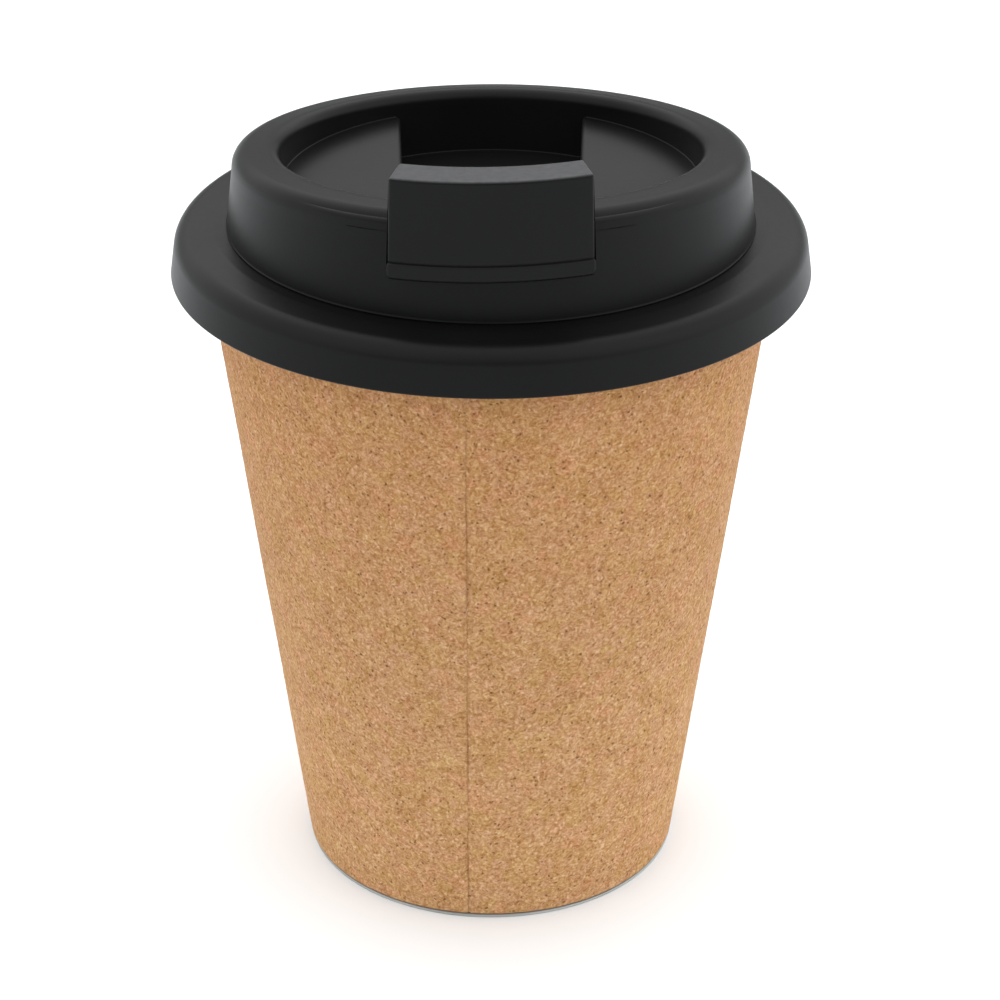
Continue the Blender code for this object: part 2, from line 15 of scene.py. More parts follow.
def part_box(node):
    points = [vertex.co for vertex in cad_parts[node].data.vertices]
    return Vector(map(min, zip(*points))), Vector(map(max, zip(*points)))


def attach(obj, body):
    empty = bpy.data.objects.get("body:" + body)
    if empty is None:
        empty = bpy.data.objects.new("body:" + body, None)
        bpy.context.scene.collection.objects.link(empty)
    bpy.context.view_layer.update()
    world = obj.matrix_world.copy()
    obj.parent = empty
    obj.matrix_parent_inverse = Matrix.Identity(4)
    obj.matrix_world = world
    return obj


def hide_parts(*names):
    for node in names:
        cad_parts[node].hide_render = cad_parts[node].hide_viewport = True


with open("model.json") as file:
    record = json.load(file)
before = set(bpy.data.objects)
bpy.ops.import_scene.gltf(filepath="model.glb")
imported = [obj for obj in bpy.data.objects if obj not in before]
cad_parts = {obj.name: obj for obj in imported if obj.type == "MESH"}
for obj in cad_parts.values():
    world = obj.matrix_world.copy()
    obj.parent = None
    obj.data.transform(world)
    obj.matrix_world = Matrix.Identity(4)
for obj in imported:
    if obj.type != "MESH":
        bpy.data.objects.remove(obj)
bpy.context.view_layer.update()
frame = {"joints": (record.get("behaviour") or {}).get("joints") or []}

MM = 0.001


# ---------------------------------------------------------------- sizes from the frame


def node_box(name):
    """Lowest and highest corner of a CAD node, in millimetres."""
    low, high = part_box(name)
    return low / MM, high / MM


cork_low, cork_high = node_box("cork_sleeve")
cap_high = node_box("base_cap")[1]
liner_low, liner_high = node_box("inner_cup")
wall_low, wall_high = node_box("outer_wall")
brim_low, brim_high = node_box("lid_brim")
top_low, top_high = node_box("lid_top")
gasket_low, gasket_high = node_box("lid_gasket")
flap_high = node_box("flap")[1]
sip_low, sip_high = node_box("sip_plug")
vent_low, vent_high = node_box("vent_plug")
hinge = next(j for j in frame["joints"] if j["name"] == "flap_hinge")
HINGE_Y = hinge["pos_m"][1] / MM
HINGE_Z = hinge["pos_m"][2] / MM

# Cup cone: cork outer radius = CORK_FOOT_R + CONE_FLARE * z
CONE_FLARE = 0.1305
CORK_FOOT_R = cork_high.x - CONE_FLARE * cork_high.z
CORK_LOW = cork_low.z
CORK_TOP = cork_high.z
CORK_THICKNESS = 1.2
SEAM_X = -3.5

# Insets from the cork's outer cone, and heights, of the pieces inside it
OUTER_WALL_INSET = 1.5
OUTER_WALL_INNER_INSET = 2.5
LINER_OUTER_INSET = 3.8
LINER_INNER_INSET = 5.0
LINER_FLOOR_TOP = 5.0
LINER_LIP_LOW = 99.3
LINER_LIP_UNDERSIDE = 100.8
LINER_LIP_WALL = 1.3
CAP_SPIGOT_INSET = 2.8
CAP_SPIGOT_WALL = 1.7
CAP_SPIGOT_TOP = 3.0
CAP_FLOOR_TOP = 2.0
CAP_EDGE_HEIGHT = 0.5

# Lid: a brim, and on it a ring whose top leans down to the back
BRIM_R = brim_high.x
BRIM_LOW = brim_low.z
BRIM_TOP = brim_high.z
BRIM_BORE_R = 37.9
BRIM_UNDERSIDE = 102.7
BRIM_DRAFT = 0.143
BRIM_WALL = 1.8
RING_BASE_R = top_high.x
RING_TOP_R = 37.8
RING_TOP = 116.5
RING_INNER_R = 31.0
RING_WALL = 1.9
RING_LEAN = 0.096
LEAN_TWIST = -0.028
LEAN_FROM = 111.65
LEAN_FULL = 113.15
DISH_TOP = 110.65
DISH_THICKNESS = 2.0
NECK_R = 37.6
NECK_LOW = 102.95
PLUG_R = 35.9
PLUG_LOW = top_low.z
PLUG_WALL = 1.9
PLUG_INSIDE_TOP = 101.95
GROOVE_TOP = 99.65
GROOVE_LOW = 95.65
GROOVE_DEPTH = 0.9
CHANNEL_FLOOR = 103.85
CHANNEL_WALL = 1.8
CHANNEL_HALF = 13.0
CHANNEL_TAPER = 0.04
CHANNEL_END_R = 31.02
SIP_SLOT = (33.3, 36.0, math.radians(10.5))
VENT_HOLE_R = 1.6
SOCKET_R = 1.7
SOCKET_REACH = 13.9

# Flap
TAB_TOP = flap_high.z
TAB_LOW = 111.95
TAB_GROOVE = 114.65
TAB_R = 41.6
TAB_BACK_R = 35.4
FLAP_TILT = 0.0215
FLAP_HALF_ANGLE = math.radians(19.4)
TAB_INNER_R = 39.25
STRAP_TOP = 123.05
STRAP_LOW = 121.05
STRAP_STEP = 120.5
RISER_OUTER_R = 30.3
RISER_INNER_R = 28.2
ARM_LOW = 106.05
ARM_TOP = 108.25
ARM_REACH_SHARE = 0.96
SIP_STUD_Y = -32.6
VENT_Y = -19.0


def cone(z, inset=0.0):
    return CORK_FOOT_R + CONE_FLARE * z - inset


# ---------------------------------------------------------------- mesh tools


def rounded(corners, closed=True, steps=6):
    """Polyline through (r, z, fillet) corners, each rounded to its own fillet radius."""
    points = []
    count = len(corners)
    for i, (r, z, fillet) in enumerate(corners):
        here = Vector((r, z))
        if fillet <= 0 or (not closed and i in (0, count - 1)):
            points.append((r, z))
            continue
        before = (Vector(corners[i - 1][:2]) - here).normalized()
        after = (Vector(corners[(i + 1) % count][:2]) - here).normalized()
        half = before.angle(after) / 2
        middle = here + (before + after).normalized() * (fillet / math.sin(half))
        start = here + before * (fillet / math.tan(half)) - middle
        end = here + after * (fillet / math.tan(half)) - middle
        first = math.atan2(start.y, start.x)
        turn = (math.atan2(end.y, end.x) - first + math.pi) % (2 * math.pi) - math.pi
        for k in range(steps + 1):
            angle = first + turn * k / steps
            across, up = fillet * math.cos(angle), fillet * math.sin(angle)
            points.append((middle.x + across, middle.y + up))
    return points


def mesh_object(name, work, warp=None):
    """Closes a bmesh that was built in millimetres into an object in metres."""
    if warp:
        for vertex in work.verts:
            vertex.co = warp(vertex.co)
    bmesh.ops.scale(work, vec=(MM, MM, MM), verts=work.verts)
    bmesh.ops.recalc_face_normals(work, faces=work.faces)
    mesh = bpy.data.meshes.new(name)
    work.to_mesh(mesh)
    work.free()
    obj = bpy.data.objects.new(name, mesh)
    bpy.context.scene.collection.objects.link(obj)
    return obj


def revolve(name, profile, closed=False, segments=240, warp=None):
    """Turns a profile of (r, z) points about Z into a closed surface."""
    work = bmesh.new()
    rings = []
    for r, z in profile:
        if r < 1e-6:
            rings.append([work.verts.new((0.0, 0.0, z))])
            continue
        turn = 2 * math.pi / segments
        ring = [(r * math.sin(i * turn), -r * math.cos(i * turn), z) for i in range(segments)]
        rings.append([work.verts.new(p) for p in ring])
    pairs = list(zip(rings, rings[1:]))
    if closed:
        pairs.append((rings[-1], rings[0]))
    for upper, lower in pairs:
        for i in range(segments):
            j = (i + 1) % segments
            corners = []
            for ring, index in ((upper, i), (upper, j), (lower, j), (lower, i)):
                vertex = ring[index % len(ring)]
                if vertex not in corners:
                    corners.append(vertex)
            work.faces.new(corners)
    return mesh_object(name, work, warp)


def stack(name, outlines, warp=None):
    """Closed loft through matching outlines, each a list of (x, y, z) points."""
    work = bmesh.new()
    rings = [[work.verts.new(p) for p in outline] for outline in outlines]
    for lower, upper in zip(rings, rings[1:]):
        count = len(lower)
        for i in range(count):
            j = (i + 1) % count
            work.faces.new((lower[i], lower[j], upper[j], upper[i]))
    work.faces.new(list(reversed(rings[0])))
    work.faces.new(rings[-1])
    return mesh_object(name, work, warp)


def round_edges(low, high, edge_low, edge_high, steps=5):
    """(height, inset) pairs of a slab whose lower and upper edges are rounded."""
    pairs = []
    for k in range(steps + 1):
        a = math.pi / 2 * k / steps
        pairs.append((low + edge_low * (1 - math.cos(a)), edge_low * (1 - math.sin(a))))
    for k in range(steps + 1):
        a = math.pi / 2 * k / steps
        pairs.append((high - edge_high * (1 - math.sin(a)), edge_high * (1 - math.cos(a))))
    return pairs


def combine(obj, other, operation):
    """Applies an exact Boolean with another object, which is then removed."""
    modifier = obj.modifiers.new("combine", "BOOLEAN")
    modifier.operation = operation
    modifier.solver = "EXACT"
    modifier.object = other
    graph = bpy.context.evaluated_depsgraph_get()
    mesh = bpy.data.meshes.new_from_object(obj.evaluated_get(graph))
    obj.modifiers.clear()
    obj.data = mesh
    bpy.data.objects.remove(other, do_unlink=True)


def smooth(obj, angle=32.0):
    """Smooth shading with sharp edges kept, and large faces keeping their true normal."""
    obj.data.shade_smooth()
    obj.data.set_sharp_from_angle(angle=math.radians(angle))
    weighted = obj.modifiers.new("weighted_normals", "WEIGHTED_NORMAL")
    weighted.keep_sharp = True
    weighted.weight = 60
    return obj


def place(obj, body, slot_name, material, *nodes):
    """Gives a piece its material, and puts it on its body in place of its CAD nodes."""
    obj.data.materials.clear()
    obj.data.materials.append(material)
    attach(obj, body)
    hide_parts(*nodes)
    return obj


# ---------------------------------------------------------------- materials


class Tree:
    """Adds and links the nodes of a node tree."""

    def __init__(self, tree):
        self.tree = tree

    def feed(self, socket, value):
        """Links another node's output to a socket, or sets the socket to a constant."""
        if isinstance(value, bpy.types.NodeSocket):
            self.tree.links.new(value, socket)
        else:
            socket.default_value = value

    def add(self, kind, inputs=None, **settings):
        node = self.tree.nodes.new(kind)
        for key, value in settings.items():
            setattr(node, key, value)
        for key, value in (inputs or {}).items():
            self.feed(node.inputs[key], value)
        return node

    def math(self, operation, *values, clamp=False):
        node = self.add("ShaderNodeMath", operation=operation, use_clamp=clamp)
        for socket, value in zip(node.inputs, values):
            self.feed(socket, value)
        return node.outputs[0]

    def ramp(self, factor, stops):
        """Colour ramp through (position, (red, green, blue)) stops."""
        node = self.add("ShaderNodeValToRGB", {"Fac": factor})
        elements = node.color_ramp.elements
        while len(elements) < len(stops):
            elements.new(0.5)
        for element, (position, colour) in zip(elements, stops):
            element.position = position
            element.color = (*colour, 1.0)
        return node.outputs["Color"]

    def grey_ramp(self, factor, stops):
        return self.ramp(factor, [(position, (v, v, v)) for position, v in stops])


class Nodes(Tree):
    """The nodes of a new material, with object coordinates in millimetres."""

    def __init__(self, name):
        self.material = bpy.data.materials.new(name)
        self.material.use_nodes = True
        super().__init__(self.material.node_tree)
        self.shader = self.tree.nodes["Principled BSDF"]
        coordinates = self.tree.nodes.new("ShaderNodeTexCoord")
        scaled = self.tree.nodes.new("ShaderNodeMapping")
        scaled.inputs["Scale"].default_value = (1 / MM, 1 / MM, 1 / MM)
        self.tree.links.new(coordinates.outputs["Object"], scaled.inputs["Vector"])
        self.place_mm = scaled.outputs["Vector"]
        self.normal = coordinates.outputs["Normal"]

    def noise(self, vector, scale, detail=3.0, roughness=0.55):
        values = {"Vector": vector, "Scale": scale, "Detail": detail, "Roughness": roughness}
        return self.add("ShaderNodeTexNoise", values).outputs["Fac"]

    def mix(self, factor, a, b, blend="MIX"):
        node = self.add("ShaderNodeMix", data_type="RGBA", blend_type=blend)
        for index, value in ((0, factor), (6, a), (7, b)):
            self.feed(node.inputs[index], value)
        return node.outputs[2]

    def bump(self, height, distance_mm, strength):
        values = {"Height": height, "Distance": distance_mm * MM, "Strength": strength}
        return self.add("ShaderNodeBump", values).outputs["Normal"]

    def link(self, output, name):
        self.tree.links.new(output, self.shader.inputs[name])

    def set(self, **values):
        for name, value in values.items():
            self.shader.inputs[name.replace("_", " ")].default_value = value


def cork_material():
    """Agglomerated cork sheet, laid out flat from the cone and cut at the seam.

    Pressed granules have their own tone and lie of fibre. The sheet is painted paler at the foot
    and darker under the lid, a painted shade for how light falls along it, and the seam is a
    broken dark line on the front.
    """
    n = Nodes("cork")
    slant = math.sqrt(1 + CONE_FLARE**2)
    place = n.add("ShaderNodeSeparateXYZ", {"Vector": n.place_mm})
    off_seam = n.math("SUBTRACT", place.outputs["X"], SEAM_X)
    forward = n.math("MULTIPLY", place.outputs["Y"], -1.0)
    around = n.math("FLOORED_MODULO", n.math("ARCTAN2", off_seam, forward), 2 * math.pi)
    spread = n.math("MULTIPLY", around, CONE_FLARE / slant)
    apex_to_foot = CORK_FOOT_R / CONE_FLARE * slant
    reach = n.math("ADD", n.math("MULTIPLY", place.outputs["Z"], slant), apex_to_foot)
    unrolled = {
        "X": n.math("MULTIPLY", reach, n.math("COSINE", spread)),
        "Y": n.math("MULTIPLY", reach, n.math("SINE", spread)),
    }
    sheet = n.add("ShaderNodeCombineXYZ", unrolled).outputs["Vector"]

    wander = n.add("ShaderNodeTexNoise", {"Vector": sheet, "Scale": 0.7, "Detail": 2.0})
    shifted = n.add("ShaderNodeVectorMath", {0: sheet, 1: wander.outputs["Color"]}, operation="ADD")
    laid = shifted.outputs[0]
    granules = n.add("ShaderNodeTexVoronoi", {"Vector": laid, "Scale": 0.45})
    crumbs = n.add("ShaderNodeTexVoronoi", {"Vector": laid, "Scale": 1.1})
    specks = n.add("ShaderNodeTexVoronoi", {"Vector": laid, "Scale": 1.7}, voronoi_dimensions="2D")
    granule_parts = n.add("ShaderNodeSeparateColor", {"Color": granules.outputs["Color"]})
    crumb_parts = n.add("ShaderNodeSeparateColor", {"Color": crumbs.outputs["Color"]})
    speck_parts = n.add("ShaderNodeSeparateColor", {"Color": specks.outputs["Color"]})

    turned = n.add(
        "ShaderNodeVectorRotate",
        {"Vector": sheet, "Angle": n.math("MULTIPLY", crumb_parts.outputs["Green"], math.pi)},
        rotation_type="Z_AXIS",
    )
    drawn = n.add("ShaderNodeMapping", {"Vector": turned.outputs[0], "Scale": (0.95, 2.3, 1.0)})
    long_fibre = n.noise(drawn.outputs[0], 1.0, 1.0, 0.5)
    curl = n.add(
        "ShaderNodeTexNoise",
        {"Vector": sheet, "Scale": 1.2, "Detail": 1.0, "Roughness": 0.5, "Distortion": 1.3},
    ).outputs["Fac"]
    grit = n.noise(sheet, 2.4, 2.0, 0.6)
    cloud = n.noise(sheet, 0.16, 3.0, 0.5)

    tone = n.math("ADD", n.math("MULTIPLY", long_fibre, 0.42), n.math("MULTIPLY", curl, 0.33))
    tone = n.math("ADD", tone, n.math("MULTIPLY", grit, 0.25))
    cloud_shift = n.math("MULTIPLY", n.math("SUBTRACT", cloud, 0.5), 0.10)
    tone = n.math("ADD", tone, cloud_shift)
    granule_shift = n.math("MULTIPLY", n.math("SUBTRACT", crumb_parts.outputs["Red"], 0.5), 0.04)
    tone = n.math("ADD", tone, granule_shift)
    base = n.ramp(
        tone,
        [
            (0.24, (0.176, 0.071, 0.022)),
            (0.37, (0.318, 0.150, 0.054)),
            (0.50, (0.444, 0.250, 0.117)),
            (0.63, (0.579, 0.369, 0.207)),
            (0.76, (0.688, 0.503, 0.336)),
        ],
    )
    hue = n.ramp(
        granule_parts.outputs["Red"],
        [
            (0.00, (0.98, 1.00, 0.88)),
            (0.30, (1.01, 1.01, 0.95)),
            (0.55, (1.00, 1.00, 1.00)),
            (0.80, (1.01, 0.995, 1.08)),
            (1.00, (1.06, 0.98, 1.00)),
        ],
    )
    coloured = n.mix(1.0, base, hue, "MULTIPLY")

    near = n.grey_ramp(specks.outputs["Distance"], [(0.16, 1.0), (0.44, 0.0)])
    rare_dark = n.grey_ramp(speck_parts.outputs["Blue"], [(0.91, 0.0), (0.97, 1.0)])
    speck = n.math("MULTIPLY", rare_dark, near)
    coloured = n.mix(n.math("MULTIPLY", speck, 0.8), coloured, (0.115, 0.046, 0.018, 1.0))
    rare_light = n.grey_ramp(speck_parts.outputs["Blue"], [(0.03, 1.0), (0.09, 0.0)])
    fleck = n.math("MULTIPLY", rare_light, near)
    coloured = n.mix(n.math("MULTIPLY", fleck, 0.5), coloured, (0.70, 0.546, 0.374, 1.0))
    # Painted shade: the colour is graded along the height, lighter at the foot and darker under the
    # lid, for how light falls on the cork.
    painted_height_shade = n.ramp(
        n.math("MULTIPLY", place.outputs["Z"], 0.01),
        [
            (0.10, (1.11, 1.094, 1.045)),
            (0.50, (0.975, 0.945, 0.890)),
            (0.88, (0.930, 0.850, 0.760)),
        ],
    )
    coloured = n.mix(1.0, coloured, painted_height_shade, "MULTIPLY")
    beside = n.math("MULTIPLY", n.math("ABSOLUTE", off_seam), 2.0)
    in_front = n.math("GREATER_THAN", forward, 0.0)
    joint = n.math("MULTIPLY", n.grey_ramp(beside, [(0.1, 0.30), (0.45, 0.0)]), in_front)
    joint = n.math("MULTIPLY", joint, n.grey_ramp(cloud, [(0.38, 0.25), (0.60, 1.0)]))
    coloured = n.mix(joint, coloured, (0.10, 0.042, 0.018, 1.0))
    n.link(coloured, "Base Color")

    height = n.math("SUBTRACT", tone, n.math("MULTIPLY", speck, 0.6))
    n.link(n.bump(height, 0.12, 0.6), "Normal")
    n.link(n.grey_ramp(tone, [(0.3, 0.95), (0.7, 0.75)]), "Roughness")
    n.set(Specular_IOR_Level=0.2)
    return n.material


def plastic_material(name, colour, roughness, specular, relief=0.012, painted_highlight_above=None):
    """Satin moulded plastic with fine grain and faint flow marks.

    Given a height in millimetres, faces that look up above it are painted paler: a painted
    highlight.
    """
    n = Nodes(name)
    flow = n.noise(n.place_mm, 0.045, 3.0, 0.5)
    grain = n.noise(n.place_mm, 3.2, 3.0, 0.65)
    dust_and_sheen = n.noise(n.place_mm, 0.9, 4.0, 0.7)
    low = tuple(c * 0.88 for c in colour)
    high = tuple(c * 1.15 for c in colour)
    tone = n.ramp(flow, [(0.35, low), (0.65, high)])
    if painted_highlight_above is not None:
        # Painted highlight: up-facing faces above the given height get a paler grey, broken up by
        # noise.
        facing = n.add("ShaderNodeSeparateXYZ", {"Vector": n.normal}).outputs["Z"]
        height_mm = n.add("ShaderNodeSeparateXYZ", {"Vector": n.place_mm}).outputs["Z"]
        painted_highlight = n.math("MULTIPLY", n.math("SUBTRACT", facing, 0.55), 2.6, clamp=True)
        painted_highlight = n.math("MULTIPLY", painted_highlight, n.math("GREATER_THAN", height_mm, painted_highlight_above))
        painted_highlight = n.math("MULTIPLY", painted_highlight, n.grey_ramp(dust_and_sheen, [(0.3, 0.6), (0.7, 1.0)]))
        tone = n.mix(painted_highlight, tone, (0.064, 0.065, 0.068, 1.0))
    n.link(tone, "Base Color")
    gloss = n.math("ADD", n.math("MULTIPLY", flow, 0.08), n.math("MULTIPLY", dust_and_sheen, 0.06))
    n.link(n.math("ADD", gloss, roughness - 0.07), "Roughness")
    height = n.math("ADD", grain, n.math("MULTIPLY", dust_and_sheen, 0.5))
    n.link(n.bump(height, relief, 0.7), "Normal")
    n.set(Specular_IOR_Level=specular)
    return n.material


def silicone_material():
    n = Nodes("silicone")
    mottle = n.noise(n.place_mm, 0.5, 3.0, 0.6)
    grain = n.noise(n.place_mm, 7.0, 2.0, 0.6)
    shades = [(0.35, (0.075, 0.075, 0.08)), (0.65, (0.105, 0.105, 0.11))]
    n.link(n.ramp(mottle, shades), "Base Color")
    n.link(n.grey_ramp(mottle, [(0.3, 0.52), (0.7, 0.64)]), "Roughness")
    n.link(n.bump(grain, 0.004, 0.6), "Normal")
    n.set(Specular_IOR_Level=0.4)
    return n.material


SATIN_BLACK = {"colour": (0.0046, 0.0047, 0.0050), "roughness": 0.38, "specular": 0.13}
LID_BLACK = plastic_material("lid_black", **SATIN_BLACK)
# The flap's material paints a paler grey on the tab's top face: a painted highlight.
FLAP_BLACK = plastic_material("flap_black", **SATIN_BLACK, painted_highlight_above=TAB_TOP - 2.0)
LINER_BLACK = plastic_material("liner_black", (0.018, 0.018, 0.019), 0.38, 0.45, relief=0.003)
BASE_GREY = plastic_material("base_grey", (0.40, 0.41, 0.395), 0.5, 0.4)
CORK = cork_material()
SILICONE = silicone_material()


# ---------------------------------------------------------------- cup


def cork_sleeve():
    """Cork wrap with sanded relief, soft ends and one upright butt seam."""
    pitch = 0.55
    groove_half = 0.22
    groove_depth = 0.34
    relief = 0.05
    segments = int(2 * math.pi * cone(CORK_TOP) / pitch)
    rows = int((CORK_TOP - CORK_LOW) / pitch)
    edge = 0.15
    profile = [(cone(CORK_TOP, edge), CORK_TOP)]
    for k in range(1, 5):
        a = math.pi / 2 * (1 - k / 4)
        z = CORK_TOP - edge * (1 - math.sin(a))
        profile.append((cone(z, edge * (1 - math.cos(a))), z))
    top_z, low_z = CORK_TOP - edge, CORK_LOW + edge
    for k in range(1, rows):
        z = top_z + (low_z - top_z) * k / rows
        profile.append((cone(z), z))
    for k in range(0, 5):
        a = math.pi / 2 * k / 4
        z = CORK_LOW + edge * (1 - math.sin(a))
        profile.append((cone(z, edge * (1 - math.cos(a))), z))
    profile.append((cone(CORK_LOW, CORK_THICKNESS), CORK_LOW))
    profile.append((cone(CORK_TOP, CORK_THICKNESS), CORK_TOP))

    def weather(co):
        radius = math.hypot(co.x, co.y)
        if radius < cone(co.z, CORK_THICKNESS * 0.7):
            return co
        rough = noise.fractal(co * 0.9, 1.0, 2.0, 3) * relief
        wave = noise.noise(co * 0.05) * 0.08
        sunk = -rough - wave
        if co.y < 0:
            off = abs(co.x - SEAM_X - 0.12 * noise.noise(Vector((0.0, 3.0, co.z * 0.12))))
            if off < groove_half * 3:
                sunk += groove_depth * math.exp(-((off / groove_half) ** 2))
        scale = (radius - max(-0.1, sunk)) / radius
        return Vector((co.x * scale, co.y * scale, co.z))

    obj = revolve("cork_sleeve_wrap", profile, closed=True, segments=segments, warp=weather)
    return place(smooth(obj, 50.0), "cup", "cork", CORK, "cork_sleeve")


def base_cap():
    """Cap under the cup: thin visible edge, flat foot ring and a recessed floor."""
    edge_r = cap_high.x
    spigot_r = cone(CAP_EDGE_HEIGHT, CAP_SPIGOT_INSET)
    corners = [
        (0.0, CAP_FLOOR_TOP, 0.0),
        (spigot_r - CAP_SPIGOT_WALL, CAP_FLOOR_TOP, 0.3),
        (spigot_r - CAP_SPIGOT_WALL, CAP_SPIGOT_TOP, 0.2),
        (spigot_r, CAP_SPIGOT_TOP, 0.25),
        (spigot_r, CAP_EDGE_HEIGHT, 0.0),
        (edge_r, CAP_EDGE_HEIGHT, 0.12),
        (edge_r, 0.0, 0.22),
        (22.0, 0.0, 0.3),
        (21.3, 0.7, 0.3),
        (9.0, 0.7, 0.1),
        (8.8, 0.9, 0.1),
        (2.0, 0.9, 0.1),
        (1.8, 0.6, 0.1),
        (0.0, 0.6, 0.0),
    ]
    obj = revolve("base_cap_moulding", rounded(corners, closed=False))
    return place(smooth(obj), "cup", "base_grey", BASE_GREY, "base_cap")


def outer_wall():
    """Tapered tube under the cork."""
    low, top = wall_low.z, wall_high.z
    corners = [
        (cone(top, OUTER_WALL_INSET), top, 0.2),
        (cone(low, OUTER_WALL_INSET), low, 0.2),
        (cone(low, OUTER_WALL_INNER_INSET), low, 0.2),
        (cone(top, OUTER_WALL_INNER_INSET), top, 0.2),
    ]
    obj = revolve("outer_wall_tube", rounded(corners, steps=3), closed=True, segments=180)
    return place(smooth(obj), "cup", "liner_black", LINER_BLACK, "outer_wall")


def inner_cup():
    """Liner with a rounded floor and a rim whose lip turns down outside it."""
    inner, outer = LINER_INNER_INSET, LINER_OUTER_INSET
    rim_top = liner_high.z
    rim_r = liner_high.x
    lip_inner_r = rim_r - LINER_LIP_WALL
    corners = [
        (0.0, LINER_FLOOR_TOP, 0.0),
        (cone(LINER_FLOOR_TOP, inner), LINER_FLOOR_TOP, 4.0),
        (cone(rim_top, inner), rim_top, 0.8),
        (rim_r, rim_top, 0.7),
        (rim_r, LINER_LIP_LOW, 0.4),
        (lip_inner_r, LINER_LIP_LOW, 0.4),
        (lip_inner_r, LINER_LIP_UNDERSIDE, 0.5),
        (cone(LINER_LIP_UNDERSIDE, outer), LINER_LIP_UNDERSIDE, 0.8),
        (cone(LINER_FLOOR_TOP, outer), LINER_FLOOR_TOP, 0.0),
        (cone(liner_low.z, inner), liner_low.z, 0.8),
        (0.0, liner_low.z, 0.0),
    ]
    obj = revolve("inner_cup_liner", rounded(corners, closed=False, steps=8))
    return place(smooth(obj), "cup", "liner_black", LINER_BLACK, "inner_cup")


# ---------------------------------------------------------------- lid


def lid_brim():
    """Broad brim: softly falling top, rounded shoulder and a flared skirt."""
    shoulder_z = BRIM_TOP - 0.5
    shoulder_r = BRIM_R - BRIM_DRAFT * (shoulder_z - BRIM_LOW)
    inner_low = BRIM_R - BRIM_WALL
    inner_high = inner_low - BRIM_DRAFT * (BRIM_UNDERSIDE - BRIM_LOW)
    corners = [
        (BRIM_BORE_R, BRIM_TOP, 0.15),
        (41.0, BRIM_TOP, 5.0),
        (shoulder_r, shoulder_z, 2.9),
        (BRIM_R, BRIM_LOW, 0.3),
        (inner_low, BRIM_LOW, 0.3),
        (inner_high, BRIM_UNDERSIDE, 0.8),
        (BRIM_BORE_R, BRIM_UNDERSIDE, 0.15),
    ]
    obj = revolve("lid_brim_moulding", rounded(corners, steps=8), closed=True, segments=320)
    return place(smooth(obj), "lid", "lid_black", LID_BLACK, "lid_brim")


def unit(value):
    """A value held between 0 and 1."""
    return min(1.0, max(0.0, value))


def lean_all(co, weight=1.0):
    """Leans a point down towards the back, with a slight twist to one side."""
    drop = RING_LEAN * (co.y + LEAN_TWIST * co.x)
    return Vector((co.x, co.y, co.z - drop * weight))


def lean(co):
    """Leans the ring's top and leaves what lies below it level."""
    return lean_all(co, unit((co.z - LEAN_FROM) / (LEAN_FULL - LEAN_FROM)))


# Ledge round the front of the ring, below its edge
LEDGE_HALF_ANGLE = math.radians(48.0)
LEDGE_FADE = math.radians(16.0)
LEDGE_REACH = 8.0
LEDGE_PROUD = 0.22
OUTER_SIDE_R = 36.0
LEDGE_TOP = RING_TOP - 0.95
LEDGE_EDGE = 0.65
LEDGE_LEVELS = (0.0, 0.02, 0.06, 0.12, 0.2, 0.3, 0.42, 0.65)


def ring_wall(z):
    """Radius of the ring's drafted outer wall at a height."""
    low, high = BRIM_TOP + 0.5, RING_TOP - 3.3
    low_r, high_r = RING_BASE_R - 0.14, RING_TOP_R + 0.27
    return low_r + (high_r - low_r) * (z - low) / (high - low)


def add_levels(profile, levels):
    """Adds points to a (r, z) profile where its outer side crosses the given heights."""
    denser = []
    for one, two in zip(profile, profile[1:] + profile[:1]):
        denser.append(one)
        if one[0] > OUTER_SIDE_R and one[1] > two[1] > RING_TOP - 5.0:
            for level in levels:
                if one[1] > level > two[1]:
                    share = (one[1] - level) / (one[1] - two[1])
                    denser.append((one[0] + (two[0] - one[0]) * share, level))
    return denser


def ring_shape(co):
    """The lean, and the ledge that stands proud below the front of the ring's edge."""
    radius = math.hypot(co.x, co.y)
    below = LEDGE_TOP - co.z
    if radius > OUTER_SIDE_R and co.y < 0 and 0.01 < below < LEDGE_REACH:
        away = abs(math.atan2(co.x, -co.y))
        fade = unit((LEDGE_HALF_ANGLE - away) / LEDGE_FADE)
        fade = fade * fade * (3 - 2 * fade)
        turn = 1 - min(1.0, below / LEDGE_EDGE)
        edge = LEDGE_EDGE * (1 - math.sqrt(1 - turn * turn))
        standing = LEDGE_PROUD * (1 - below / LEDGE_REACH)
        proud = ring_wall(min(co.z, RING_TOP - 1.0)) + standing - edge
        grown = radius + max(0.0, proud - radius) * fade
        co = Vector((co.x * grown / radius, co.y * grown / radius, co.z))
    return lean(co)


def channel_outline(z, end_radius, extra):
    """Tapered channel seen from above, with round ends concentric with the ring."""
    base = CHANNEL_HALF + extra
    square = 1 + CHANNEL_TAPER**2
    reach = math.sqrt(square * end_radius**2 - base**2)
    points = []
    for side in (1, -1):
        y = (-base * CHANNEL_TAPER + side * reach) / square
        end = math.atan2(base + CHANNEL_TAPER * y, side * y)
        for i in range(25):
            angle = end * (1 - 2 * i / 24)
            across, out = end_radius * math.sin(angle), end_radius * math.cos(angle)
            points.append((side * across, side * out, z))
    return points


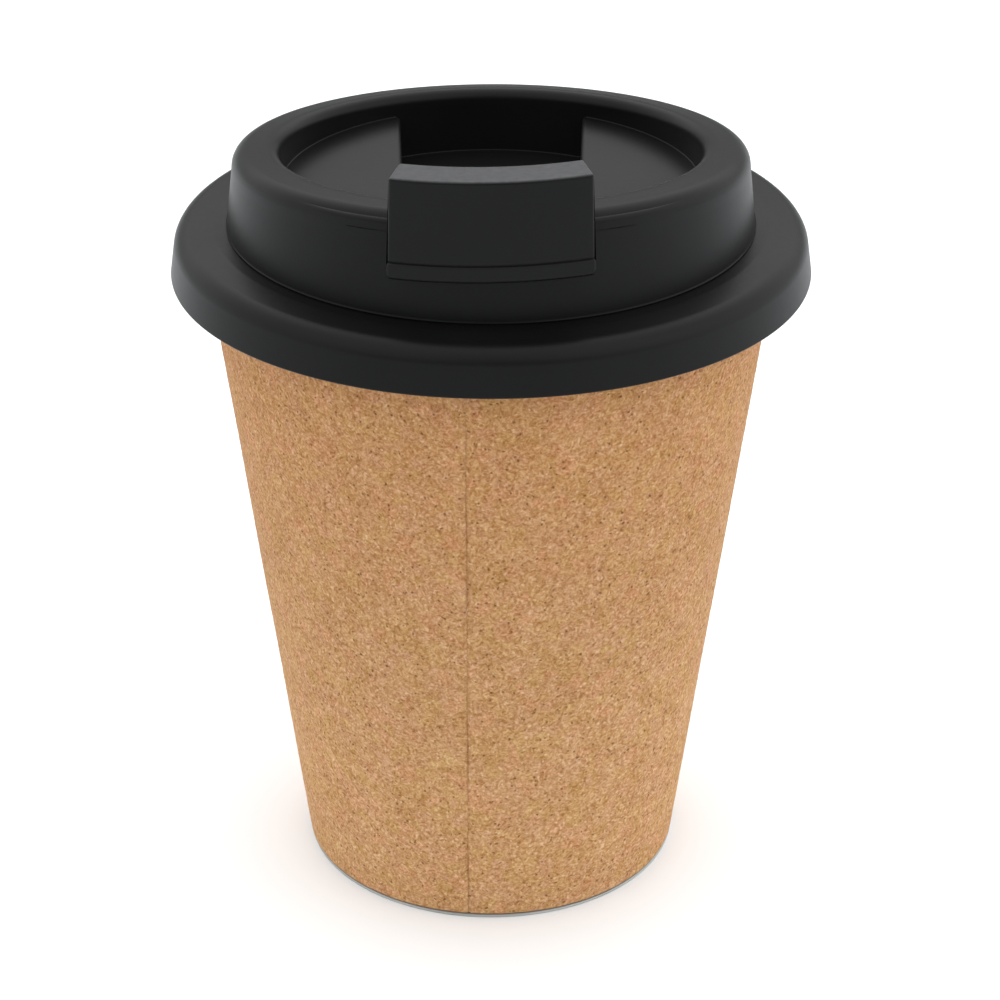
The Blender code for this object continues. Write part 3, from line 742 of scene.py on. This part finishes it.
def slot_outline(z, inner, outer, half_angle, grow):
    """Curved slot with round ends, concentric with the lid, on the -Y side."""
    middle = (inner + outer) / 2
    radius = (outer - inner) / 2 + grow
    reach = half_angle - (outer - inner) / 2 / middle
    points = []
    for k in range(17):
        a = -reach + 2 * reach * k / 16
        points.append(((middle + radius) * math.sin(a), -(middle + radius) * math.cos(a), z))
    for side in (1, -1):
        centre = Vector((middle * math.sin(side * reach), -middle * math.cos(side * reach)))
        outward = Vector((math.sin(side * reach), -math.cos(side * reach)))
        along = Vector((-outward.y, outward.x)) * side
        for k in range(1, 8):
            a = math.pi * k / 8 if side > 0 else math.pi * (1 - k / 8)
            p = centre + outward * radius * math.cos(a) + along * radius * math.sin(a)
            points.append((p.x, p.y, z))
        if side > 0:
            for k in range(17):
                a = reach - 2 * reach * k / 16
                inside = middle - radius
                points.append((inside * math.sin(a), -inside * math.cos(a), z))
    return points


def rod(name, radius, low, high, centre, along="Z", edge=0.0, segments=48):
    """A cylinder with rounded ends, along Z or X."""
    corners = [(0.0, high, 0.0), (radius, high, edge), (radius, low, edge), (0.0, low, 0.0)]
    profile = rounded(corners, closed=False, steps=4)
    turn = Matrix.Rotation(math.pi / 2, 3, "Y") if along == "X" else Matrix.Identity(3)
    offset = Vector(centre)
    return revolve(name, profile, segments=segments, warp=lambda co: turn @ co + offset)


def lid_top():
    """Raised ring, dish, flap channel and plug wall in one moulding."""
    roof = RING_TOP - RING_WALL
    inner_edge = 1.6
    corners = [
        (0.0, DISH_TOP, 0.0),
        (RING_INNER_R, DISH_TOP, 0.15),
        (RING_INNER_R, RING_TOP + 0.2, inner_edge),
        (33.2, RING_TOP + 0.2, 6.0),
        (RING_TOP_R, RING_TOP - 0.2, 2.6),
        (RING_TOP_R + 0.27, RING_TOP - 3.3, 0.0),
        (RING_TOP_R + 0.3, RING_TOP - 3.6, 0.0),
        (RING_BASE_R - 0.14, BRIM_TOP + 0.5, 0.0),
        (RING_BASE_R, BRIM_TOP + 0.25, 0.08),
        (RING_BASE_R, BRIM_TOP + 0.07, 0.06),
        (NECK_R, BRIM_TOP + 0.07, 0.0),
        (NECK_R, NECK_LOW, 0.0),
        (PLUG_R, NECK_LOW, 0.0),
        (PLUG_R, GROOVE_TOP, 0.2),
        (PLUG_R - GROOVE_DEPTH, GROOVE_TOP, 0.0),
        (PLUG_R - GROOVE_DEPTH, GROOVE_LOW, 0.0),
        (PLUG_R, GROOVE_LOW, 0.2),
        (PLUG_R, PLUG_LOW, 0.6),
        (PLUG_R - PLUG_WALL, PLUG_LOW, 0.4),
        (PLUG_R - PLUG_WALL, PLUG_INSIDE_TOP, 1.5),
        (NECK_R - 0.5, NECK_LOW + 4.5, 1.5),
        (RING_TOP_R - RING_WALL, roof, 1.0),
        (RING_INNER_R + RING_WALL, roof, 0.8),
        (RING_INNER_R + RING_WALL, DISH_TOP - DISH_THICKNESS, 0.0),
        (0.0, DISH_TOP - DISH_THICKNESS, 0.0),
    ]
    profile = add_levels(
        rounded(corners, closed=False, steps=9), [LEDGE_TOP - level for level in LEDGE_LEVELS]
    )
    top = revolve("lid_top_moulding", profile, segments=288, warp=ring_shape)
    block_heights = (CHANNEL_FLOOR - CHANNEL_WALL, DISH_TOP - 1.0)
    block_r = CHANNEL_END_R + CHANNEL_WALL
    block = stack("channel_block", [channel_outline(z, block_r, 2.4) for z in block_heights])
    edge = 0.7
    outlines = []
    for height, inset in round_edges(CHANNEL_FLOOR, DISH_TOP, 0.2, 0.0):
        if height < DISH_TOP - edge - 0.01:
            outlines.append(channel_outline(height, CHANNEL_END_R - inset * 0.6, -inset))
    for k in range(8):
        a = math.radians(86.0) * k / 7
        height = DISH_TOP - edge + edge * math.sin(a)
        outlines.append(channel_outline(height, CHANNEL_END_R, edge * (1 - math.cos(a))))
    outlines.append(channel_outline(DISH_TOP + 0.6, CHANNEL_END_R, edge))
    void = stack("channel_void", outlines)
    hinge_place = (0.0, HINGE_Y, HINGE_Z)
    sockets = rod("sockets", SOCKET_R, -SOCKET_REACH, SOCKET_REACH, hinge_place, "X")
    lip = 0.35
    flare = (
        (DISH_TOP - 1.0, 0.0),
        (RING_TOP - lip, 0.0),
        (RING_TOP - lip * 0.3, lip * 0.3),
        (RING_TOP + 0.02, lip),
        (RING_TOP + 1.5, lip),
    )
    slot = stack("sip_slot", [slot_outline(z, *SIP_SLOT, grow) for z, grow in flare], warp=lean_all)
    vent_ends = (CHANNEL_FLOOR - 3.2, CHANNEL_FLOOR + 1.8)
    vent = rod("vent", VENT_HOLE_R, *vent_ends, (0.0, VENT_Y, 0.0))
    combine(top, block, "UNION")
    for cutter in (void, sockets, slot, vent):
        combine(top, cutter, "DIFFERENCE")
    return place(smooth(top), "lid", "lid_black", LID_BLACK, "lid_top")


def lid_gasket():
    """Silicone ring with two sealing lips."""
    low, high = gasket_low.z, gasket_high.z
    back = PLUG_R - 0.6
    face = gasket_high.x
    root = PLUG_R + 0.1
    middle = (low + high) / 2
    corners = [
        (back, high, 0.2),
        (root, high, 0.2),
        (face, high - 0.75, 0.25),
        (root, middle, 0.3),
        (face, low + 0.75, 0.25),
        (root, low, 0.2),
        (back, low, 0.2),
    ]
    obj = revolve("lid_gasket_ring", rounded(corners), closed=True)
    return place(smooth(obj), "lid", "silicone_grey", SILICONE, "lid_gasket")


# ---------------------------------------------------------------- flap


def inset_profile(profile, distance):
    """Moves each point of a closed clockwise outline inwards by a distance."""
    moved = []
    count = len(profile)
    for i, (r, z) in enumerate(profile):
        before = Vector(profile[i - 1])
        after = Vector(profile[(i + 1) % count])
        along = (after - before).normalized()
        moved.append((r + along.y * distance, z - along.x * distance))
    return moved


def rounded_sector(name, profile, half_angle, edge, slices=40, warp=None):
    """A closed profile turned through an angle about -Y, with rounded side edges."""
    edge_steps = 5
    left = []
    for k in range(edge_steps + 1):
        a = math.pi / 2 * k / edge_steps
        left.append((-half_angle + edge * (1 - math.sin(a)) / TAB_R, edge * (1 - math.cos(a))))
    left.sort()
    start = left[-1][0]
    middle = [(start + (-2 * start) * k / slices, 0.0) for k in range(1, slices)]
    right = [(-angle, inset) for angle, inset in reversed(left)]
    work = bmesh.new()
    rings = []
    for angle, inset in left + middle + right:
        shape = inset_profile(profile, inset) if inset > 0 else profile
        across, out = math.sin(angle), -math.cos(angle)
        rings.append([work.verts.new((r * across, r * out, z)) for r, z in shape])
    for one, two in zip(rings, rings[1:]):
        count = len(one)
        for i in range(count):
            j = (i + 1) % count
            work.faces.new((one[i], one[j], two[j], two[i]))
    work.faces.new(rings[0])
    work.faces.new(list(reversed(rings[-1])))
    return mesh_object(name, work, warp)


def tab_shape(co):
    """Side draft, softened lower corners and the slight tilt of the tab, as seen from the front."""
    radius = math.hypot(co.x, co.y)
    corner = 0.7
    span = 1.6
    x, z = co.x, co.z
    if radius >= 39.0 and z <= TAB_LOW + span:
        along = TAB_R * (FLAP_HALF_ANGLE - abs(math.atan2(co.x, -co.y)))
        if along < corner:
            lift = corner - math.sqrt(max(0.0, corner**2 - (corner - max(0.0, along)) ** 2))
            z += lift * (1 - (z - TAB_LOW) / span)
    if radius > 34.0:
        back = unit((co.z - STRAP_TOP) / 2.5) * (TAB_R - radius) * 0.0098
        front = unit((radius - 36.0) / 3.0) * (TAB_TOP - co.z) * 0.0021
        lip = 0.007 if radius > 39.0 and co.z < TAB_GROOVE - 0.2 else 0.0
        x *= 1 + back + front + lip
    tilt = unit((radius - 28.0) / 5.0) * FLAP_TILT * co.x
    return Vector((x, co.y, z + tilt))


def arm_outline(z, inset):
    """The arm seen from above, widening from the riser to the hinge."""
    radius = 29.3 - inset
    wide = 11.6 - inset
    points = [(-wide, HINGE_Y, z), (wide, HINGE_Y, z)]
    reach = FLAP_HALF_ANGLE * ARM_REACH_SHARE - inset / radius
    for i in range(17):
        angle = reach * (1 - 2 * i / 16)
        points.append((radius * math.sin(angle), -radius * math.cos(angle), z))
    return points


def flap():
    """Tab, strap, riser and arm, with the barrel and trunnions that it turns on."""
    lip = TAB_R + 0.15
    corners = [
        (TAB_BACK_R, TAB_TOP, 0.5),
        (TAB_R, TAB_TOP, 0.45),
        (TAB_R, TAB_GROOVE + 0.1, 0.0),
        (TAB_R - 0.22, TAB_GROOVE - 0.05, 0.0),
        (TAB_R - 0.2, TAB_GROOVE - 0.15, 0.0),
        (lip, TAB_GROOVE - 0.4, 0.1),
        (lip, TAB_LOW, 0.7),
        (TAB_INNER_R, TAB_LOW, 0.7),
        (TAB_INNER_R, STRAP_STEP, 0.8),
        (36.5, STRAP_STEP, 0.0),
        (36.45, STRAP_LOW, 0.0),
        (RISER_OUTER_R, STRAP_LOW, 0.8),
        (RISER_OUTER_R, ARM_LOW, 0.0),
        (RISER_INNER_R, ARM_LOW, 0.0),
        (RISER_INNER_R, STRAP_TOP, 2.0),
        (TAB_BACK_R, STRAP_TOP, 0.7),
    ]
    profile = rounded(corners)
    body = rounded_sector("flap_moulding", profile, FLAP_HALF_ANGLE, 0.5, warp=tab_shape)
    arm_levels = round_edges(ARM_LOW, ARM_TOP, 0.5, 0.6)
    arm = stack("arm", [arm_outline(z, inset) for z, inset in arm_levels])
    hinge_place = (0.0, HINGE_Y, HINGE_Z)
    barrel = rod("barrel", 2.4, -11.9, 11.9, hinge_place, "X", edge=0.4)
    trunnions = rod("trunnions", 1.4, -13.6, 13.6, hinge_place, "X", edge=0.25)
    for added in (arm, barrel, trunnions):
        combine(body, added, "UNION")
    sip_bore = rod("sip_bore", 1.9, STRAP_LOW - 2.4, STRAP_TOP + 1.6, (0.0, SIP_STUD_Y, 0.0))
    vent_bore = rod("vent_bore", 1.5, ARM_LOW - 2.4, ARM_TOP + 1.4, (0.0, VENT_Y, 0.0))
    for bore in (sip_bore, vent_bore):
        combine(body, bore, "DIFFERENCE")
    return place(smooth(body), "flap", "lid_black", FLAP_BLACK, "flap")


def sip_plug():
    """Silicone stopper: curved pad and nib, held by a mushroom stud through the strap."""
    pad = stack(
        "sip_plug_stopper",
        [
            slot_outline(z, 31.0, 36.2, math.radians(10.5), -inset)
            for z, inset in round_edges(sip_low.z + 1.7, STRAP_LOW - 0.3, 0.2, 0.15)
        ],
    )
    nib_outlines = []
    for z, taper in ((sip_low.z, 1.0), (sip_low.z + 0.15, 0.9), (STRAP_STEP, 0.0)):
        inner, outer = 34.0 + 0.45 * taper, 35.6 - 0.2 * taper
        half_angle = math.radians(8.5 - 0.4 * taper)
        grow = -0.15 if z == sip_low.z else 0.0
        nib_outlines.append(slot_outline(z, inner, outer, half_angle, grow))
    nib = stack("nib", nib_outlines)
    stud_place = (0.0, SIP_STUD_Y, 0.0)
    stud = rod("stud", 1.6, STRAP_STEP, STRAP_TOP + 0.7, stud_place)
    head = rod("head", 2.4, STRAP_TOP + 0.3, sip_high.z, stud_place, edge=0.35)
    for added in (nib, stud, head):
        combine(pad, added, "UNION")
    return place(smooth(pad), "flap", "silicone_grey", SILICONE, "sip_plug")


def vent_plug():
    """Small silicone stopper pushed through the arm."""
    corners = [
        (0.0, vent_high.z, 0.0),
        (2.2, vent_high.z, 0.4),
        (2.2, ARM_TOP + 0.3, 0.15),
        (1.2, ARM_TOP + 0.3, 0.0),
        (1.2, ARM_LOW - 0.3, 0.0),
        (2.6, ARM_LOW - 0.3, 0.2),
        (2.6, CHANNEL_FLOOR + 0.3, 0.3),
        (1.0, CHANNEL_FLOOR + 0.3, 0.0),
        (0.7, vent_low.z, 0.3),
        (0.0, vent_low.z, 0.0),
    ]
    offset = Vector((0.0, VENT_Y, 0.0))
    profile = rounded(corners, closed=False, steps=5)
    obj = revolve("vent_plug_stopper", profile, segments=64, warp=lambda co: co + offset)
    return place(smooth(obj), "flap", "silicone_grey", SILICONE, "vent_plug")


CUP_PIECES = (cork_sleeve, base_cap, outer_wall, inner_cup)
LID_PIECES = (lid_brim, lid_top, lid_gasket)
FLAP_PIECES = (flap, sip_plug, vent_plug)
for build_piece in CUP_PIECES + LID_PIECES + FLAP_PIECES:
    build_piece()


# ---------------------------------------------------------------- studio


def floor():
    """Plain pale floor."""
    work = bmesh.new()
    bmesh.ops.create_grid(work, x_segments=1, y_segments=1, size=4.0)
    mesh = bpy.data.meshes.new("studio_floor")
    work.to_mesh(mesh)
    work.free()
    obj = bpy.data.objects.new("studio_floor", mesh)
    bpy.context.scene.collection.objects.link(obj)
    n = Nodes("studio_floor")
    n.set(Base_Color=(0.885, 0.905, 0.92, 1.0), Roughness=0.9, Specular_IOR_Level=0.0)
    mesh.materials.append(n.material)


def area_light(name, place_m, target_m, size_m, power):
    """White softbox that faces a point and is not seen by the camera."""
    light = bpy.data.lights.new(name, "AREA")
    light.shape = "RECTANGLE"
    light.size, light.size_y = size_m
    light.energy = power
    obj = bpy.data.objects.new(name, light)
    bpy.context.scene.collection.objects.link(obj)
    obj.location = place_m
    obj.rotation_euler = (Vector(target_m) - Vector(place_m)).to_track_quat("-Z", "Y").to_euler()
    obj.visible_camera = False


def studio():
    """White tent, dark low down except at the sides, brighter behind, and four area lights."""
    world = bpy.data.worlds.new("studio")
    world.use_nodes = True
    n = Tree(world.node_tree)
    background = n.tree.nodes["Background"]
    direction = n.add("ShaderNodeTexCoord").outputs["Generated"]
    axis = n.add("ShaderNodeSeparateXYZ", {0: direction}).outputs
    sideways = n.math("MULTIPLY", axis["X"], axis["X"])
    lifted = n.math("MULTIPLY_ADD", sideways, 0.5, axis["Z"])
    stops = [(0.0, 0.10), (0.28, 0.13), (0.40, 1.02), (0.60, 0.95), (0.90, 0.98)]
    n.feed(background.inputs["Color"], n.grey_ramp(lifted, stops))
    n.feed(background.inputs["Strength"], n.math("MULTIPLY_ADD", axis["Y"], 0.65, 1.35))
    bpy.context.scene.world = world
    centre = (0.0, 0.0, 0.06)
    area_light("overhead", (0.0, 0.05, 1.2), centre, (1.4, 1.4), 3.0)
    area_light("side_right", (0.9, -0.1, 0.45), centre, (0.8, 0.6), 0.7)
    area_light("front_left", (-0.75, -0.75, 0.85), centre, (1.3, 1.0), 2.0)
    area_light("front_right", (0.75, -0.75, 0.85), centre, (1.3, 1.0), 2.7)
    bpy.context.scene.view_settings.view_transform = "Standard"


def camera():
    """Long lens, 27 degrees above the horizon, on the tab's side of the cup."""
    data = bpy.data.cameras.new("camera")
    data.lens = 109.98
    data.sensor_width = 36.0
    data.shift_x = 0.0089
    data.shift_y = 0.0005
    data.clip_start = 0.01
    data.clip_end = 50.0
    obj = bpy.data.objects.new("camera", data)
    bpy.context.scene.collection.objects.link(obj)
    distance = 0.47397
    height = 0.05779
    pitch = math.radians(27.241)
    obj.location = (0.0, -distance * math.cos(pitch), height + distance * math.sin(pitch))
    obj.rotation_euler = (math.pi / 2 - pitch, 0.0, 0.0)
    bpy.context.scene.camera = obj


floor()
studio()
camera()
